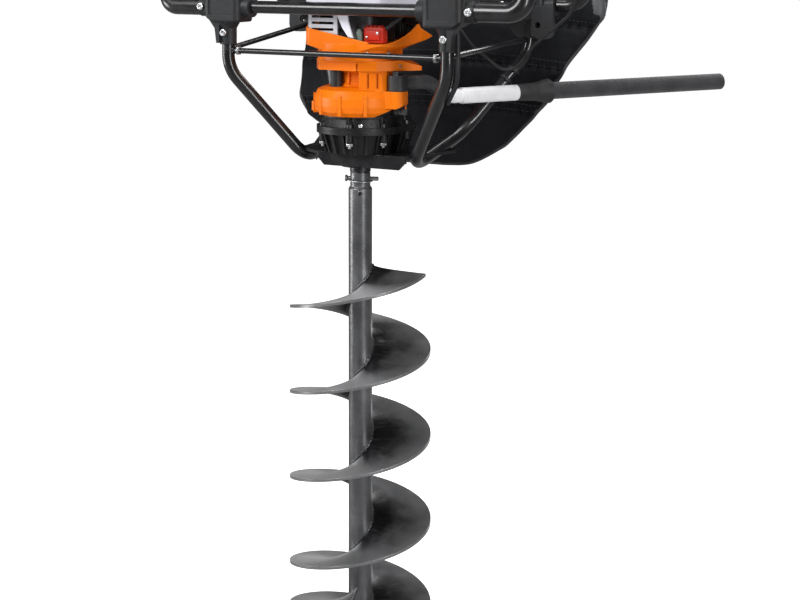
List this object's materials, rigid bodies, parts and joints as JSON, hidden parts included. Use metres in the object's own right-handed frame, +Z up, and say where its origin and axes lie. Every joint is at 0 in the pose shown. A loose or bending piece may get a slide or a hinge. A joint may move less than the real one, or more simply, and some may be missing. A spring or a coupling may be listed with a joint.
{
  "type": "ice fishing auger",
  "caption": "Petrol ice auger: a steel helical auger under a geared engine, in a tubular carrying frame with handle loops, a hip cushion and a long brake lever.",
  "frame": {"origin": "the tip of the centre point, where it touches the ice, on the auger's axis", "axes": "+Z up along the auger's axis, +Y towards the operator and the hip cushion, +X to the side of the brake lever"},
  "size_m": [0.6861, 0.5983, 1.08],
  "materials": {
    "auger_steel": "dark grey satin paint",
    "blade_steel": "ground",
    "zinc_steel": "zinc plated",
    "gear_steel": "oiled",
    "black_casting": "black painted casting",
    "black_paint": "glossy black",
    "bracket_plastic": "moulded, fine grain",
    "grip_rubber": "matt",
    "handle_plastic": "moulded",
    "red_plastic": "gloss",
    "orange_plastic": "semi-gloss",
    "clear_plastic": "milky",
    "bare_aluminium": "cast",
    "muffler_steel": "heat stained",
    "grey_plastic": "ribbed",
    "pale_plastic": "semi-gloss",
    "lever_aluminium": "satin",
    "lever_foam": "foam sleeve",
    "cushion_fabric": "black woven cover"
  },
  "bodies": {
    "power_head": {"gearbox_housing": "black_casting", "gearbox_cover": "black_casting", "gearbox_fasteners": "zinc_steel", "gearbox_bearings": "gear_steel", "base_plate": "black_paint", "frame_tubes": "black_paint", "cross_tubes": "black_paint", "corner_brackets": "bracket_plastic", "bracket_screws": "zinc_steel", "brace_rods": "black_paint", "handle_tubes": "black_paint", "left_grip": "grip_rubber", "control_handle": "handle_plastic", "throttle_cable": "grip_rubber", "clutch_housing": "orange_plastic", "heat_tube": "bracket_plastic", "brake_band": "gear_steel", "fan_housing": "orange_plastic", "crankcase": "bare_aluminium", "cylinder": "bare_aluminium", "spark_plug": "grip_rubber", "muffler": "muffler_steel", "side_panel": "grey_plastic", "top_cover": "pale_plastic", "starter_housing": "handle_plastic", "carburettor": "bare_aluminium", "filter_cover": "handle_plastic", "fuel_tank": "clear_plastic", "hip_cushion": "cushion_fabric"},
    "auger": {"auger_tube": "auger_steel", "main_flight": "auger_steel", "second_flight": "auger_steel", "ice_blades": "blade_steel", "blade_screws": "zinc_steel", "centre_point": "blade_steel", "drive_pin": "zinc_steel", "output_spindle": "blade_steel", "output_gear": "gear_steel"},
    "intermediate": {"intermediate_shaft": "gear_steel", "intermediate_pinion": "gear_steel", "intermediate_gear": "gear_steel"},
    "drum": {"first_pinion": "gear_steel", "clutch_drum": "gear_steel"},
    "crank": {"crankshaft": "gear_steel", "flywheel": "bare_aluminium", "clutch_shoes": "gear_steel"},
    "piston": {"piston": "bare_aluminium"},
    "brake_lever": {"lever_tube": "lever_aluminium", "lever_pivot": "zinc_steel", "lever_grip": "lever_foam", "lever_boot": "grip_rubber"},
    "trigger": {"throttle_trigger": "handle_plastic"},
    "lockout": {"trigger_lockout": "handle_plastic"},
    "stop_slider": {"stop_switch": "red_plastic"},
    "primer": {"primer_bulb": "clear_plastic"},
    "choke": {"choke_lever": "red_plastic"},
    "cap": {"fuel_cap": "handle_plastic"},
    "knob": {"cover_knob": "handle_plastic"},
    "pulley": {"starter_pulley": "grey_plastic"},
    "pull_grip": {"starter_grip": "handle_plastic"}
  },
  "joints": [
    {"name": "auger_spin", "type": "hinge", "parent": "power_head", "child": "auger", "pos_m": [0, 0, 0.7], "axis": [0, 0, 1], "continuous": true},
    {"name": "intermediate_spin", "type": "hinge", "parent": "power_head", "child": "intermediate", "pos_m": [0, 0.0462, 0.75], "axis": [0, 0, 1], "continuous": true},
    {"name": "drum_spin", "type": "hinge", "parent": "power_head", "child": "drum", "pos_m": [0, 0, 0.79], "axis": [0, 0, 1], "continuous": true},
    {"name": "crank_spin", "type": "hinge", "parent": "power_head", "child": "crank", "pos_m": [0, 0, 0.87], "axis": [0, 0, 1], "continuous": true},
    {"name": "piston_slide", "type": "slide", "parent": "power_head", "child": "piston", "axis": [0, 1, 0], "range_m": [-0.029, 0]},
    {"name": "brake_lever_swing", "type": "hinge", "parent": "power_head", "child": "brake_lever", "pos_m": [0.07, -0.017, 0.811], "axis": [0, 0, -1], "range_deg": [0, 12]},
    {"name": "trigger_pull", "type": "hinge", "parent": "power_head", "child": "trigger", "pos_m": [0.29, 0.104, 1.02], "axis": [-1, 0, 0], "range_deg": [0, 8]},
    {"name": "lockout_press", "type": "hinge", "parent": "power_head", "child": "lockout", "pos_m": [0.29, 0.092, 1.052], "axis": [1, 0, 0], "range_deg": [0, 6]},
    {"name": "stop_switch_slide", "type": "slide", "parent": "power_head", "child": "stop_slider", "axis": [0, 1, 0], "range_m": [0, 0.008]},
    {"name": "primer_press", "type": "slide", "parent": "power_head", "child": "primer", "axis": [0, 1, 0], "range_m": [0, 0.005]},
    {"name": "choke_turn", "type": "hinge", "parent": "power_head", "child": "choke", "pos_m": [0.108, 0.008, 0.99], "axis": [0, -1, 0], "range_deg": [0, 75]},
    {"name": "fuel_cap_turn", "type": "hinge", "parent": "power_head", "child": "cap", "pos_m": [0.044, 0.092, 1.065], "axis": [0, 0, 1], "range_deg": [0, 90]},
    {"name": "cover_knob_turn", "type": "hinge", "parent": "power_head", "child": "knob", "pos_m": [-0.07, -0.01, 0.926], "axis": [-0.9111, -0.4122, 0], "range_deg": [0, 180]},
    {"name": "starter_pull", "type": "slide", "parent": "power_head", "child": "pull_grip", "axis": [0, -1, 0], "range_m": [0, 0.4]},
    {"name": "pulley_turn", "type": "hinge", "parent": "power_head", "child": "pulley", "pos_m": [0, 0, 0.987], "axis": [0, 0, 1], "range_deg": [0, 890]}
  ],
  "couplings": [
    {"joint": "intermediate_spin", "follows": "auger_spin", "ratio": -6},
    {"joint": "drum_spin", "follows": "auger_spin", "ratio": 36},
    {"joint": "crank_spin", "follows": "auger_spin", "ratio": 36},
    {"joint": "pulley_turn", "follows": "starter_pull", "rad_per_m": 38.462}
  ]
}
